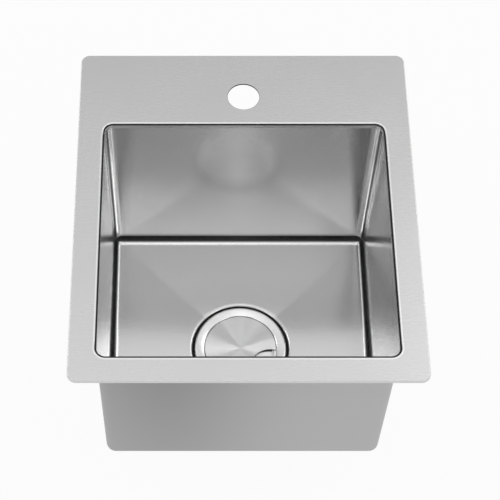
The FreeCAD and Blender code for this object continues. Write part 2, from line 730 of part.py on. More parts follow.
clamp_bore = cup_outside + 2 * size.thread_clearance
clamp_outside = cup_outside + 2 * size.clamp_ring_width
under_gasket_bottom = drain_seat_under - size.under_gasket_thickness
friction_ring_bottom = under_gasket_bottom - size.friction_ring_thickness


def make_lock_nut():
    outside = clamp_outside - 2 * size.lug_reach
    bottom = friction_ring_bottom - size.lock_nut_height
    body = ring("lock_nut", clamp_bore, outside, bottom, size.lock_nut_height)
    root = size.lug_reach / 2
    lug = add_sketch(body, "lug_outline")
    rectangle(lug, size.lug_reach + root, size.lug_width, x=(outside + size.lug_reach - root) / 2)
    repeat_round(body, "lugs", pad(body, "lug", lug, size.lock_nut_height), LUGS)


ring("flange_gasket", drain_hole, flange_diameter + 2 * size.flange_gasket_margin, drain_seat,
     size.flange_gasket_thickness)
ring("under_gasket", clamp_bore, clamp_outside, under_gasket_bottom, size.under_gasket_thickness)
ring("friction_ring", clamp_bore, clamp_outside, friction_ring_bottom, size.friction_ring_thickness)
make_lock_nut()


# Waste: washer, tailpiece and the nut that pulls them up to the strainer's outlet

outlet = flange_base + spigot_end
washer_bottom = outlet - size.tail_washer_thickness
coupling_bottom = washer_bottom - size.tailpiece_flange - size.coupling_nut_lip
neck_radius = size.tailpiece_diameter / 2 + size.tailpiece_neck


def make_tailpiece():
    body = add_body("tailpiece", y=drain_y, z=washer_bottom)
    outside = size.tailpiece_diameter / 2
    inside = outside - size.tailpiece_wall
    flange = spigot_diameter / 2
    under = -size.tailpiece_flange
    neck_end = under - size.coupling_nut_lip
    end = neck_end - size.tailpiece_length
    revolve(body, "tail_tube", [(inside, ZERO), (flange, ZERO), (flange, under), (neck_radius, under),
                                (neck_radius, neck_end), (outside, neck_end), (outside, end), (inside, end)])


ring("tail_washer", size.spigot_bore, spigot_diameter, washer_bottom, size.tail_washer_thickness)
make_tailpiece()
thread_bore = (spigot_diameter / 2 + size.thread_clearance, size.coupling_nut_lip)
neck_bore = (neck_radius + size.thread_clearance, ZERO)
coupling_height = outlet + size.coupling_nut_grip - coupling_bottom
prism_nut("coupling_nut", OCTAGON_SIDES, spigot_diameter + 2 * size.coupling_nut_wall, coupling_height,
          [thread_bore, neck_bore], ZERO, drain_y, coupling_bottom)


# Basket: a perforated cup with a stopper below it and a knob on a centre post

stopper_bottom = flange_base + cup_floor
basket_bottom = stopper_bottom + size.stopper_thickness
post_hole = size.post_diameter + 2 * size.thread_clearance
basket_rim = size.strainer_bore / 2 - size.basket_clearance
knob_bottom = flange_base - size.knob_drop - size.knob_height


def make_basket():
    body = add_body("basket", y=drain_y, z=basket_bottom)
    wall = size.basket_wall
    top = flange_base - size.basket_top_drop - basket_bottom
    neck = basket_rim - size.basket_lip
    low = neck - size.basket_taper
    revolve(body, "basket_cup", [
        (post_hole / 2, ZERO), (low, ZERO), (neck, top - wall), (basket_rim, top - wall), (basket_rim, top),
        (neck - wall, top), (low - wall, wall), (post_hole / 2, wall),
    ])
    slot = add_sketch(body, "slot_outline", "XZ_Plane")
    rectangle(slot, size.basket_slot_width, size.basket_slot_height, y=top / 2)
    repeat_round(body, "slots", pocket(body, "slot", slot, basket_rim), BASKET_SLOTS)
    hole = add_sketch(body, "hole_outline", offset=wall)
    circle(hole, size.basket_hole_diameter, x=low - size.basket_hole_margin)
    repeat_round(body, "holes", pocket(body, "hole", hole, wall), BASKET_HOLES)


def make_post():
    bottom = basket_bottom + size.basket_wall
    body = add_body("basket_post", y=drain_y, z=bottom)
    thread, collar = size.post_diameter / 2, size.post_collar_diameter / 2
    end, top = outlet - bottom, knob_bottom - bottom
    revolve(body, "post", [(ZERO, end), (thread, end), (thread, ZERO), (collar, ZERO),
                           (collar, size.post_collar_height), (thread, size.post_collar_height),
                           (thread, top), (ZERO, top)])


def make_knob():
    body = add_body("basket_knob", y=drain_y, z=knob_bottom)
    wide, narrow = size.knob_diameter / 2, size.post_collar_diameter / 2
    shoulder, brim, top = size.knob_height / 3, size.knob_height * 2 / 3, size.knob_height
    knob = revolve(body, "knob", [(ZERO, ZERO), (narrow, ZERO), (narrow, shoulder), (wide, brim), (wide, top),
                                  (ZERO, top)])
    fillet(body, "knob_edge", knob, size.knob_edge_radius, lambda edge: at_level(edge, top))


make_basket()
make_post()
make_knob()
ring("basket_stopper", post_hole, size.spigot_bore + 2 * size.stopper_overlap, stopper_bottom,
     size.stopper_thickness)
prism_nut("stopper_nut", HEXAGON_SIDES, size.stopper_nut_corners, size.stopper_nut_height,
          [(post_hole / 2, ZERO)], ZERO, drain_y, stopper_bottom - size.stopper_nut_height)


# Drain cap: a turned disc with a skirt, and a sunken tab below its round finger notch

def make_cap():
    body = add_body("drain_cap", y=drain_y, z=flange_base + cap_shelf, turn=size.cap_notch_angle.value)
    bind(body, "Placement.Rotation.Angle", size.cap_notch_angle)
    edge, skirt = cap_diameter / 2, basket_rim
    inner, skirt_end = skirt - size.cap_skirt_wall, -size.cap_skirt_height
    disc = revolve(body, "cap_disc", [(ZERO, ZERO), (inner, ZERO), (inner, skirt_end), (skirt, skirt_end),
                                      (skirt, ZERO), (edge, ZERO), (edge, size.cap_thickness),
                                      (ZERO, size.cap_thickness)])
    fillet(body, "cap_edge", disc, size.cap_edge_radius, lambda edge: at_level(edge, size.cap_thickness))
    notch = add_sketch(body, "notch_outline", offset=size.cap_thickness)
    circle(notch, 2 * size.cap_notch_radius, x=cap_diameter / 2)
    pocket(body, "notch", notch, size.cap_thickness)
    tab = add_sketch(body, "tab_outline", offset=skirt_end)
    circle(tab, 2 * size.cap_notch_radius, x=cap_diameter / 2)
    pad(body, "tab", tab, size.cap_tab_thickness)
    trim = add_sketch(body, "tab_trim_outline", offset=skirt_end)
    circle(trim, cap_diameter + 4 * size.cap_notch_radius)
    circle(trim, 2 * skirt)
    pocket(body, "tab_trim", trim, size.cap_tab_thickness, up=True)


make_cap()


# Check every object before writing one file per sub-part

doc.recompute()
for thing in doc.Objects:
    if "Invalid" in thing.State or "Error" in thing.State:
        raise RuntimeError(f"{thing.Label} failed: {thing.State}")
for node in nodes:
    if node.Shape.isNull() or not node.Shape.isValid() or not node.Shape.Solids:
        raise RuntimeError(f"{node.Label} has no valid solid")

os.makedirs("parts", exist_ok=True)
for node in nodes:
    node.Shape.exportStep(f"parts/{node.Label}.step")
    print(f"{node.Label}: {len(node.Shape.Solids)} solid, {node.Shape.Volume:.1f} mm3")
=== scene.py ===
# %% [markdown]
# # A compact kitchen sink
# This lesson dresses a drop-in sink: a satin steel deck with a tap hole, a deep square bowl, a basket
# strainer with a turned cap, and the clips and waste fittings below. The construction comes as a frame of
# solids at their real size, in metres, so every finish and every modelled piece is simply put where the
# frame says.

# %% Load the frame
import math

import bmesh
import bpy
from mathutils import Matrix, Vector


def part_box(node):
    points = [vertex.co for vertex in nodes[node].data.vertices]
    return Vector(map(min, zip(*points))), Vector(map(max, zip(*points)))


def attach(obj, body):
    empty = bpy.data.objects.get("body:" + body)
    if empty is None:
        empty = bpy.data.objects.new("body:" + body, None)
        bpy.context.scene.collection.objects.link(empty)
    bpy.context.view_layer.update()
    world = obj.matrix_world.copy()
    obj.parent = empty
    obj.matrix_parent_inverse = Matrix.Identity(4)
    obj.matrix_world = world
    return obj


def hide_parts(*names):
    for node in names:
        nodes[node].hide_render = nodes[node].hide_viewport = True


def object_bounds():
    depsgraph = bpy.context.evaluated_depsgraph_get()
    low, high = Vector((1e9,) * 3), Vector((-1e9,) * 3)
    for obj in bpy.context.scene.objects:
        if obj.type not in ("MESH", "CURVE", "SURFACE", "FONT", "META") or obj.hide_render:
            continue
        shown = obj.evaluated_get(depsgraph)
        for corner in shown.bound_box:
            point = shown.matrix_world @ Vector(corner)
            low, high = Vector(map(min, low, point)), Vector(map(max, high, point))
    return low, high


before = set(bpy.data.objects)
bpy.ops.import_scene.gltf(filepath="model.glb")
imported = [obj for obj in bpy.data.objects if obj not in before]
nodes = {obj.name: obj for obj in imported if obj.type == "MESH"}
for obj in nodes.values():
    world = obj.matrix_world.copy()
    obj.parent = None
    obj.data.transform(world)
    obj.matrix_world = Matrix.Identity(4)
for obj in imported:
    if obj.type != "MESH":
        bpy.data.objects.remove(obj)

cad_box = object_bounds()
MM = 0.001
print(f"{len(nodes)} solids, box {[round(value / MM) for corner in cad_box for value in corner]} mm")

# %% [markdown]
# ## Shader maths in Python
# A finish is a network of nodes. It could be wired by hand, but a long list of links is hard to read. So a
# `Signal` wraps one socket and lets Python operators add the Math nodes. Every other node comes from
# `Finish.add`, which sets the node's choices first and then its sockets.


# %% Signals
class Signal:
    """One output of a finish's network that takes part in Python expressions."""

    def __init__(self, finish, socket):
        self.finish = finish
        self.socket = socket

    def math(self, operation, *terms):
        """Add a Math node that takes this signal first."""
        return self.finish.add("ShaderNodeMath", {"operation": operation}, dict(enumerate((self, *terms))))

    def __add__(self, other):
        return self.math("ADD", other)

    def __mul__(self, other):
        return self.math("MULTIPLY", other)

    def __sub__(self, other):
        return self.math("SUBTRACT", other)

    def __rsub__(self, other):
        return self * -1 + other

    def __abs__(self):
        return self.math("ABSOLUTE")

    __radd__ = __add__
    __rmul__ = __mul__

    def clamp(self):
        return self.finish.add("ShaderNodeClamp", None, {0: self})

    def ramp(self, start, end):
        """Rise from 0 at start to 1 at end, and stay there; it falls where start is the larger."""
        return ((self - start) * (1 / (end - start))).clamp()


print("signals are ready")


# %% Finishes
class Finish:
    """A material in the making, with its network of nodes."""

    def __init__(self, name, owner=None, **constants):
        self.owner = owner or bpy.data.materials.new(name)
        self.owner.use_nodes = True
        self.network = self.owner.node_tree
        self.shader = self.network.nodes.get("Principled BSDF")
        for socket, value in constants.items():
            self.shader.inputs[socket.replace("_", " ")].default_value = value

    def add(self, kind, settings=None, sockets=None, output=0):
        """Add a node, set its choices and then its sockets, and return one of its outputs."""
        node = self.network.nodes.new(kind)
        for name, value in (settings or {}).items():
            if name == "stops":
                while len(node.color_ramp.elements) < len(value):
                    node.color_ramp.elements.new(1.0)
                for element, (place, shade) in zip(node.color_ramp.elements, value):
                    element.position = place
                    element.color = (shade, shade, shade, 1.0)
            else:
                setattr(node, name, value)
        for name, value in (sockets or {}).items():
            self.join(value, node.inputs[name])
        return Signal(self, node.outputs[output])

    def join(self, value, socket):
        """Link a signal to a socket, or set a number or colour on it."""
        if isinstance(value, Signal):
            self.network.links.new(value.socket, socket)
        else:
            socket.default_value = value

    def feed(self, **values):
        """Join values to the shader's own sockets."""
        for socket, value in values.items():
            self.join(value, self.shader.inputs[socket.replace("_", " ")])

    def axes(self, names="XYZ"):
        """The object's coordinates, in metres, one signal for each axis."""
        here = self.add("ShaderNodeTexCoord", output="Object")
        return [self.add("ShaderNodeSeparateXYZ", None, {0: here}, name) for name in names]

    def noise(self, stretch, detail=2.0):
        """A noise of the object's coordinates, stretched along X, Y and Z."""
        here = self.add("ShaderNodeTexCoord", output="Object")
        place = self.add("ShaderNodeVectorMath", {"operation": "MULTIPLY"}, {0: here, 1: stretch})
        return self.add("ShaderNodeTexNoise", None, {"Vector": place, "Scale": 1.0, "Detail": detail}, "Fac")

    def grey(self, brightness):
        """A grey colour of a varying brightness."""
        return self.add("ShaderNodeCombineColor", None, {0: brightness, 1: brightness, 2: brightness})

    def blend(self, mask, dark, light):
        """Mix two colours by a mask."""
        return self.add("ShaderNodeMix", {"data_type": "RGBA"},
                        {0: mask, 6: (*dark, 1.0), 7: (*light, 1.0)}, 2)

    def paint(self, mask, shade):
        """Lay a plain grey over the colour that is there already, by a mask."""
        below = Signal(self, self.shader.inputs["Base Color"].links[0].from_socket)
        over = (shade, shade, shade, 1.0)
        laid = self.add("ShaderNodeMix", {"data_type": "RGBA"}, {0: mask, 6: below, 7: over}, 2)
        self.feed(Base_Color=laid)

    def emboss(self, height, depth):
        """Turn a height into the surface's normal; a height of 1 stands for so many metres of depth."""
        bump = self.add("ShaderNodeBump", None, {"Height": height, "Distance": depth, "Strength": 1.0})
        self.feed(Normal=bump)

    def in_view(self):
        """1 on rays that show things to the camera, straight, mirrored or through glass, 0 on others."""
        seen = self.add("ShaderNodeLightPath", output="Is Camera Ray")
        mirrored = self.add("ShaderNodeLightPath", output="Is Glossy Ray")
        through = self.add("ShaderNodeLightPath", output="Is Transmission Ray")
        return (seen + mirrored + through).clamp()


print("finishes are ready")

# %% [markdown]
# ## Floor
# The sink stands on a white studio ground. Lamps that are strong enough to turn a pale floor white would also
# wash out the steel. So the floor's material is white only on rays that show it, straight, mirrored in metal
# or through glass, and a small share of the lit floor is mixed in, which keeps the sink's shadow.

# %% Floor
FLOOR_SIZE = 14.0
FLOOR_CLOUDS = 1.5
FLOOR_DARK = (0.86, 0.86, 0.86)
FLOOR_LIGHT = (0.90, 0.90, 0.90)
WHITE_SHARE = 0.94
bpy.ops.mesh.primitive_plane_add(size=FLOOR_SIZE, location=(0, 0, cad_box[0].z))
floor = bpy.context.object
floor.name = "floor"
pale = Finish("pale_floor", Roughness=0.9)
clouds = pale.noise((FLOOR_CLOUDS, FLOOR_CLOUDS, FLOOR_CLOUDS))
pale.feed(Base_Color=pale.blend(clouds, FLOOR_DARK, FLOOR_LIGHT))
lit = Signal(pale, pale.shader.outputs[0])
white = pale.add("ShaderNodeEmission", None, {"Strength": 1.0}, "Emission")
shown = pale.add("ShaderNodeMixShader", None, {0: pale.in_view() * WHITE_SHARE, 1: lit, 2: white})
pale.join(shown, pale.network.nodes["Material Output"].inputs["Surface"])
floor.data.materials.append(pale.owner)
print(f"floor at {cad_box[0].z:.4f} m")

# %% [markdown]
# ## Light of the room
# Brushed steel only looks like steel when it has something dark to mirror beside something bright. Lamp
# objects could give that, but here the whole room is one formula on the world, which is easy to tune. A dome
# that is brightest overhead and dimmest half way up gives the even light. Round soft lamps on it give the
# highlights, and one lamp of negative strength is a dark flag. Near the horizon the room is white, on the
# same rays as the floor.

# %% Dome
# A stop is a height on the dome, from 0 at the horizon to 1 overhead, and a brightness.
DOME = ((0.0, 0.50), (0.50, 0.45), (0.64, 0.35), (0.71, 0.35), (0.81, 0.45), (0.88, 0.57), (0.926, 0.69),
        (0.964, 0.82), (1.0, 0.80))
DOME_TILT = 0.16
room = bpy.data.worlds.new("studio")
bpy.context.scene.world = room
glow = Finish("studio", owner=room)
heading = glow.add("ShaderNodeTexCoord", output="Generated")
ahead, up = (glow.add("ShaderNodeSeparateXYZ", None, {0: heading}, axis) for axis in "YZ")
light = glow.add("ShaderNodeValToRGB", {"stops": DOME}, {0: up + DOME_TILT * ahead})
print(f"dome of {len(DOME)} stops")

# %% Lamps
# Each lamp has a bearing from +Y towards +X, an elevation, a core and a border in degrees, and a strength.
LAMPS = (
    (43, 56, 4, 9, 2.5),
    (-50, 55, 3, 6, 5.0),
    (0, 79, 4, 9, 0.3),
    (180, 84, 3, 6, 1.1),
    (118, 70, 3, 7, 1.6),
    (-118, 70, 3, 7, 1.6),
    (36, 45, 4, 8, 2.2),
    (-36, 45, 4, 8, 2.2),
    (180, 43, 4, 9, 0.3),
    (180, 52, 2, 5, 0.7),
    (162, 48, 3, 6, 1.5),
    (128, 50, 3, 6, 4.0),
    (-120, 48, 2, 5, 4.5),
    (-147, 60, 5, 11, -0.36),
)


def softbox(bearing, elevation, core, border, strength):
    """A round soft light in the room: full up to core degrees from its middle, gone at border degrees."""
    around = math.radians(bearing)
    climb = math.radians(elevation)
    middle = (math.sin(around) * math.cos(climb), math.cos(around) * math.cos(climb), math.sin(climb))
    near = glow.add("ShaderNodeVectorMath", {"operation": "DOT_PRODUCT"}, {0: heading, 1: middle}, "Value")
    return near.ramp(math.cos(math.radians(border)), math.cos(math.radians(core))) * strength


for lamp in LAMPS:
    light = light + softbox(*lamp)
print(f"{len(LAMPS)} lamps")

# %% White horizon
BAND_EDGE = 0.55
BAND_FULL = 0.40
backdrop = glow.network.nodes["Background"]
low_band = abs(up).ramp(BAND_EDGE, BAND_FULL)
glow.join(light.math("MAXIMUM", glow.in_view() * low_band), backdrop.inputs["Strength"])
backdrop.inputs["Color"].default_value = (1.0, 1.0, 1.0, 1.0)
print("room light is on")

# %% [markdown]
# ## Camera
# The camera has the photograph's place, angle and framing. It could be aimed at the sink's middle, but then
# the rim's front edge would tilt in the picture. So it only looks down, with no turn to the side, and a
# shift of the lens moves the sink into the frame.

# %% Camera
CAMERA_PLACE = (-0.05469, -0.91508, 1.39852)
LOOK_DOWN = 60.24
SENSOR = 36.0
LENS = 108.02
SHIFT_X = 0.1073
SHIFT_Y = 0.1000
camera = bpy.data.objects.new("camera", bpy.data.cameras.new("camera"))
bpy.context.scene.collection.objects.link(camera)
camera.location = CAMERA_PLACE
camera.rotation_euler = (math.radians(90 - LOOK_DOWN), 0, 0)
camera.data.sensor_width = SENSOR
camera.data.lens = LENS
camera.data.shift_x = SHIFT_X
camera.data.shift_y = SHIFT_Y
bpy.context.scene.camera = camera
bpy.context.scene.view_settings.view_transform = "Standard"
print("camera is at the photograph's place")

# %% [markdown]
# ## Satin steel
# Deck and bowl are cold-rolled stainless sheet, brushed lengthwise. The brushing is thousands of fine
# scratches. Anisotropy alone could stretch the highlights, but it shows no single scratch, so here a very
# stretched noise bends the normal and shifts the roughness. Upright faces get painted light: a brightness
# of their own against level faces, painted darker towards the rim. They also get a slight lean of their
# normals, because a folded wall is never quite plumb.

# %% Satin steel
ALONG = 30
ACROSS = 1800
SCRATCH_DEPTH = 0.006 * MM
SCRATCH_GLOSS = 0.05
WEAR = 7
WEAR_TINT = 0.05
WEAR_GLOSS = 0.07
RIM_SHADE_START = -120 * MM
RIM_SHADE_END = -20 * MM
DIFFUSE_SHARE = 0.14


def satin_steel(name, base, roughness, lean=0.0, upright=1.0, rim_shade=0.2):
    """Brushed sheet: along X on level faces and level on upright ones.

    Upright faces get painted light, a brightness of their own that is painted darker towards the rim,
    and they shade as if they lean.
    """
    steel = Finish(name)
    height = steel.axes("Z")[0]
    facing = steel.add("ShaderNodeNewGeometry", output="Normal")
    level = abs(steel.add("ShaderNodeSeparateXYZ", None, {0: facing}, "Z"))
    on_level = steel.noise((ALONG, ACROSS, ALONG))
    on_walls = steel.noise((ALONG, ALONG, ACROSS))
    scratches = on_level * level + on_walls * (1 - level)
    wear = steel.noise((WEAR, WEAR, WEAR), detail=3.0)
    # Painted light: upright faces are painted brighter or darker than level ones, and darker towards the rim.
    walls = upright - rim_shade * height.ramp(RIM_SHADE_START, RIM_SHADE_END)
    brightness = base * (1 - WEAR_TINT + WEAR_TINT * wear) * (level + walls * (1 - level))
    steel.feed(Base_Color=steel.grey(brightness),
               Roughness=roughness + WEAR_GLOSS * wear + SCRATCH_GLOSS * scratches,
               Metallic=1 - DIFFUSE_SHARE * (1 - level))
    steel.emboss(scratches * SCRATCH_DEPTH + lean * (1 - level) * height, depth=1.0)
    return steel


STEEL = 0.81
finishes = {"satin_steel": satin_steel("satin_steel", STEEL, roughness=0.25).owner}
print("satin steel is ready")

# %% [markdown]
# ## The other finishes
# Each of the small parts has a material of its own: polished, plated or cast metal, foam, rubber or plastic.
# Each could have its own network, but most of them differ only in colour, gloss and the size of their grain.
# So one recipe makes them: a noise at the right scale tints the colour, breaks up the gloss and lifts the
# surface.

# %% Finishes of the fittings
NOISE_SPAN = (0.35, 0.65)


def grained(slot, dark, light, roughness, spread, grain, depth, metallic=0.0, **constants):
    """A finish whose grain, in grains per metre, tints, dulls and lifts the surface."""
    finish = Finish(slot, Metallic=metallic, **constants)
    speckle = finish.noise((grain, grain, grain), detail=3.0)
    bold = speckle.ramp(*NOISE_SPAN)
    finish.feed(Base_Color=finish.blend(bold, dark, light), Roughness=roughness + spread * speckle)
    finish.emboss(speckle, depth)
    finishes[slot] = finish.owner


METAL = 1.0
grained("polished_steel", (0.86, 0.86, 0.86), (0.92, 0.92, 0.92), 0.10, 0.08, 60, 0.01 * MM, METAL)
grained("drawn_steel", (0.42, 0.42, 0.43), (0.54, 0.54, 0.55), 0.22, 0.14, 120, 0.01 * MM, METAL)
grained("basket_steel", (0.62, 0.62, 0.62), (0.74, 0.74, 0.74), 0.16, 0.14, 90, 0.01 * MM, METAL)
grained("zinc_steel", (0.48, 0.50, 0.52), (0.70, 0.70, 0.68), 0.26, 0.22, 450, 0.02 * MM, METAL)
grained("cast_nut", (0.46, 0.46, 0.46), (0.62, 0.62, 0.61), 0.30, 0.20, 900, 0.05 * MM, METAL)
grained("chrome_tube", (0.50, 0.51, 0.53), (0.54, 0.55, 0.57), 0.04, 0.10, 40, 0.004 * MM, METAL)
grained("brass", (0.62, 0.42, 0.16), (0.80, 0.60, 0.30), 0.24, 0.20, 700, 0.02 * MM, METAL)
grained("seal_foam", (0.020, 0.020, 0.021), (0.075, 0.075, 0.078), 0.82, 0.15, 1500, 0.25 * MM)
grained("pad_rubber", (0.050, 0.051, 0.053), (0.105, 0.106, 0.110), 0.62, 0.20, 900, 0.12 * MM)
grained("black_rubber", (0.007, 0.007, 0.007), (0.018, 0.018, 0.018), 0.55, 0.20, 700, 0.05 * MM,
        Specular_IOR_Level=0.2)
grained("white_plastic", (0.70, 0.70, 0.68), (0.80, 0.80, 0.78), 0.38, 0.12, 500, 0.02 * MM)
grained("dark_plastic", (0.018, 0.018, 0.020), (0.034, 0.034, 0.036), 0.30, 0.18, 1400, 0.03 * MM)
print(f"{len(finishes)} finishes are ready")

# %% [markdown]
# ## The turned cap
# The cap is faced on a lathe, so its scratches are circles round the drain's axis. They stretch every
# highlight across themselves, and that draws the bright fans. Modelled grooves would be far too fine for
# that. Blender's default tangent runs in circles round a piece's middle, so the anisotropy alone gives the
# fans, and a noise of the radius adds the single grooves. A thin ring of painted shade along the cap's edge
# stands for the shadow in the gap round it.

# %% Turned steel
GROOVES = 1500.0
GROOVE_DEPTH = 0.003 * MM
GROOVE_TINT = 0.12
GROOVE_GLOSS = 0.10
TURNED_ROUGHNESS = 0.31
LINE_START = 0.9 * MM
LINE_FULL = 0.3 * MM
LINE_SHADE = 0.75
drain = (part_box("strainer_body")[0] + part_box("strainer_body")[1]) / 2
cap_radius = (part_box("drain_cap")[1].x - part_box("drain_cap")[0].x) / 2
turned = Finish("turned_steel", Metallic=METAL, Anisotropic=1.0, Anisotropic_Rotation=0.25)
here = turned.add("ShaderNodeTexCoord", output="Object")
spoke = turned.add("ShaderNodeVectorMath", {"operation": "SUBTRACT"}, {0: here, 1: (drain.x, drain.y, 0.0)})
level_spoke = turned.add("ShaderNodeVectorMath", {"operation": "MULTIPLY"}, {0: spoke, 1: (1.0, 1.0, 0.0)})
radius = turned.add("ShaderNodeVectorMath", {"operation": "LENGTH"}, {0: level_spoke}, "Value")
grooves = turned.add("ShaderNodeTexNoise", {"noise_dimensions": "1D"},
                     {"W": radius, "Scale": GROOVES, "Detail": 3.0}, "Fac")
# Painted shade: a thin dark ring along the cap's edge stands for the shadow of the gap round it.
painted_edge_shade = radius.ramp(cap_radius - LINE_START, cap_radius - LINE_FULL)
brightness = (1 - GROOVE_TINT + GROOVE_TINT * grooves) * (1 - LINE_SHADE * painted_edge_shade)
turned.feed(Base_Color=turned.grey(brightness), Roughness=TURNED_ROUGHNESS + GROOVE_GLOSS * grooves)
turned.emboss(grooves, GROOVE_DEPTH)
finishes["turned_steel"] = turned.owner
print("turned steel is ready")

# %% [markdown]
# ## Dressing the solids
# Every solid of the frame comes with a plain material named after its slot. The finishes have the same names,
# so one loop dresses all solids, where a list by hand would have to be kept in step. The loop also notes each
# solid's slot, because a modelled piece takes the slot of the solid that it stands for.

# %% Dress the solids
slots = {}
for node, solid in nodes.items():
    slots[node] = solid.data.materials[0].name.split(".")[0]
    solid.data.materials[0] = finishes[slots[node]]
print(f"{len(slots)} solids wear {len(set(slots.values()))} finishes")

# %% [markdown]
# ## Skins over loops
# Most pieces are skins stretched over a row of loops with equally many points: circles for turned parts,
# rectangles with round corners for folded sheet and pads. Modifiers could round plain blocks, but loops put
# each point where the section says. A skin that ends where it began is a ring; any other gets its ends
# closed. Rounded copies of stamped or cast solids come from the frame's own meshes.

# %% Pieces
MERGE = 0.001 * MM


def show(name, shape, body, replaced, sharp=35):
    """Make a piece of a mesh; it rides on a body and stands for a solid of the frame."""
    bmesh.ops.remove_doubles(shape, verts=shape.verts, dist=MERGE)
    bmesh.ops.recalc_face_normals(shape, faces=shape.faces)
    mesh = bpy.data.meshes.new(name)
    shape.to_mesh(mesh)
    shape.free()
    mesh.shade_smooth()
    mesh.set_sharp_from_angle(angle=math.radians(sharp))
    mesh.materials.append(finishes[slots[replaced]])
    piece = bpy.data.objects.new(name, mesh)
    bpy.context.scene.collection.objects.link(piece)
    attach(piece, body)
    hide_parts(replaced)
    return piece


print("pieces can be shown")


# %% Skins and turned parts
def skin(loops, ring=False, shape=None):
    """Join a row of loops with faces; a ring closes on its first loop, other skins get flat ends."""
    shape = shape or bmesh.new()
    rows = [[shape.verts.new(point) for point in loop] for loop in loops]
    if ring:
        rows.append(rows[0])
    else:
        shape.faces.new(rows[0])
        shape.faces.new(rows[-1])
    for low, high in zip(rows, rows[1:]):
        for here in range(len(low)):
            shape.faces.new((low[here - 1], low[here], high[here], high[here - 1]))
    return shape


def circle_loop(centre, radius, height, steps):
    """A level circle of equally spaced points."""
    angles = [2 * math.pi * step / steps for step in range(steps)]
    return [(centre.x + radius * math.cos(angle), centre.y + radius * math.sin(angle), height)
            for angle in angles]


def turn(centre, section, steps, ring=False, shape=None):
    """Turn a section of (radius, height) points round an upright axis."""
    return skin([circle_loop(centre, radius, height, steps) for radius, height in section], ring, shape)


def ring_section(inner, outer, low, high, edge):
    """The section of a flat ring with rounded edges."""
    corners = ((inner, low, 1, 1), (outer, low, -1, 1), (outer, high, -1, -1), (inner, high, 1, -1))
    section = []
    for number, (radius, height, across, along) in enumerate(corners):
        for share in (0.0, 0.5, 1.0):
            angle = math.pi / 2 * (share + 2 + number)
            section.append((radius + across * edge + edge * math.cos(angle),
                            height + along * edge + edge * math.sin(angle)))
    return section


print("skins and turned parts are ready")

# %% Rounded copies
FLAT_ANGLE = math.radians(1)
HARD_ANGLE = math.radians(30)


def rounded(node, body, width):
    """Show a copy of a solid whose hard edges are rounded."""
    shape = bmesh.new()
    shape.from_mesh(nodes[node].data)
    shape.transform(nodes[node].matrix_world)
    bmesh.ops.remove_doubles(shape, verts=shape.verts, dist=MERGE)
    bmesh.ops.dissolve_limit(shape, angle_limit=FLAT_ANGLE, verts=shape.verts, edges=shape.edges)
    hard = [edge for edge in shape.edges if edge.is_manifold and edge.calc_face_angle() > HARD_ANGLE]
    bmesh.ops.bevel(shape, geom=hard, offset=width, offset_type="OFFSET", segments=2, profile=0.5,
                    affect="EDGES", clamp_overlap=True)
    show(f"{node}_rounded", shape, body, node)


print("rounded copies are ready")

# %% [markdown]
# ## The bowl
# The bowl is one folded sheet: upright walls, quarter rounds, and a floor whose four faces fall to the drain
# and meet in soft creases. A box with bevelled edges would miss the creases and the drain's seat. So two
# skins, one sheet apart, are built as rows of loops from the rim down to the drain hole, and joined into a
# ring. The floor's height comes from how far a point lies on its way to the drain.

# %% Measures of the bowl
SHEET = 1.5 * MM
FOLD = 10 * MM
FALL = 6 * MM
SEAT_GAP = 0.5 * MM
FLOOR_RISE = 6.2 * MM
bowl_low, bowl_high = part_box("sink_bowl")
bowl_middle = (bowl_low + bowl_high) / 2
half_x = (bowl_high.x - bowl_low.x) / 2 - SHEET
half_y = (bowl_high.y - bowl_low.y) / 2 - SHEET
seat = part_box("flange_gasket")[0].z
seat_radius = (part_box("flange_gasket")[1].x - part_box("flange_gasket")[0].x) / 2 + SEAT_GAP
floor_edge = seat + FLOOR_RISE
print(f"bowl of {2 * half_x / MM:.0f} by {2 * half_y / MM:.0f} mm inside, seat at {seat / MM:.1f} mm")

# %% Rectangles with round corners
CORNER_STEPS = 8
NEAR_CORNER = (0.0008, 0.003, 0.007, 0.013, 0.021, 0.032, 0.05)
MIDDLE_STEPS = 13
MIDDLE_START = 0.09
MIDDLE_SPAN = 0.82
SIDE_SHARES = (
    *NEAR_CORNER,
    *(MIDDLE_START + MIDDLE_SPAN * step / MIDDLE_STEPS for step in range(MIDDLE_STEPS + 1)),
    *(1 - share for share in reversed(NEAR_CORNER)),
)


def rectangle_loop(centre, half_width, half_depth, radius, height):
    """A level rectangle with round corners; its points crowd towards the corners."""
    corners = []
    for quarter, (side, end) in enumerate(((1, 1), (-1, 1), (-1, -1), (1, -1))):
        x = centre.x + side * (half_width - radius)
        y = centre.y + end * (half_depth - radius)
        angles = [math.pi / 2 * (quarter + step / CORNER_STEPS) for step in range(CORNER_STEPS + 1)]
        corners.append([Vector((x + radius * math.cos(angle), y + radius * math.sin(angle), height))
                        for angle in angles])
    loop = []
    for corner, next_corner in zip(corners, corners[1:] + corners[:1]):
        loop += corner
        loop += [corner[-1].lerp(next_corner[0], share) for share in SIDE_SHARES]
    return loop


print(f"{4 * (CORNER_STEPS + 1 + len(SIDE_SHARES))} points in a rectangle")

# %% Walls
FOLD_STEPS = 12
WALL_SHARES = (0.0, 0.004, 0.25, 0.5, 0.75, 0.996, 1.0)


def wall_loops(offset):
    """Loops of one skin from the rim down through the quarter round to the floor's edge."""
    reach = FOLD + offset
    spring = floor_edge + FOLD
    loops = []
    for share in WALL_SHARES:
        height = bowl_high.z + (spring - bowl_high.z) * share
        loops.append(rectangle_loop(bowl_middle, half_x + offset, half_y + offset, reach, height))
    for step in range(1, FOLD_STEPS + 1):
        angle = math.pi / 2 * step / FOLD_STEPS
        inset = reach * (1 - math.cos(angle))
        loops.append(rectangle_loop(bowl_middle, half_x + offset - inset, half_y + offset - inset,
                                    reach - inset, spring - reach * math.sin(angle)))
    return loops


print(f"{len(wall_loops(0.0))} loops in a wall")

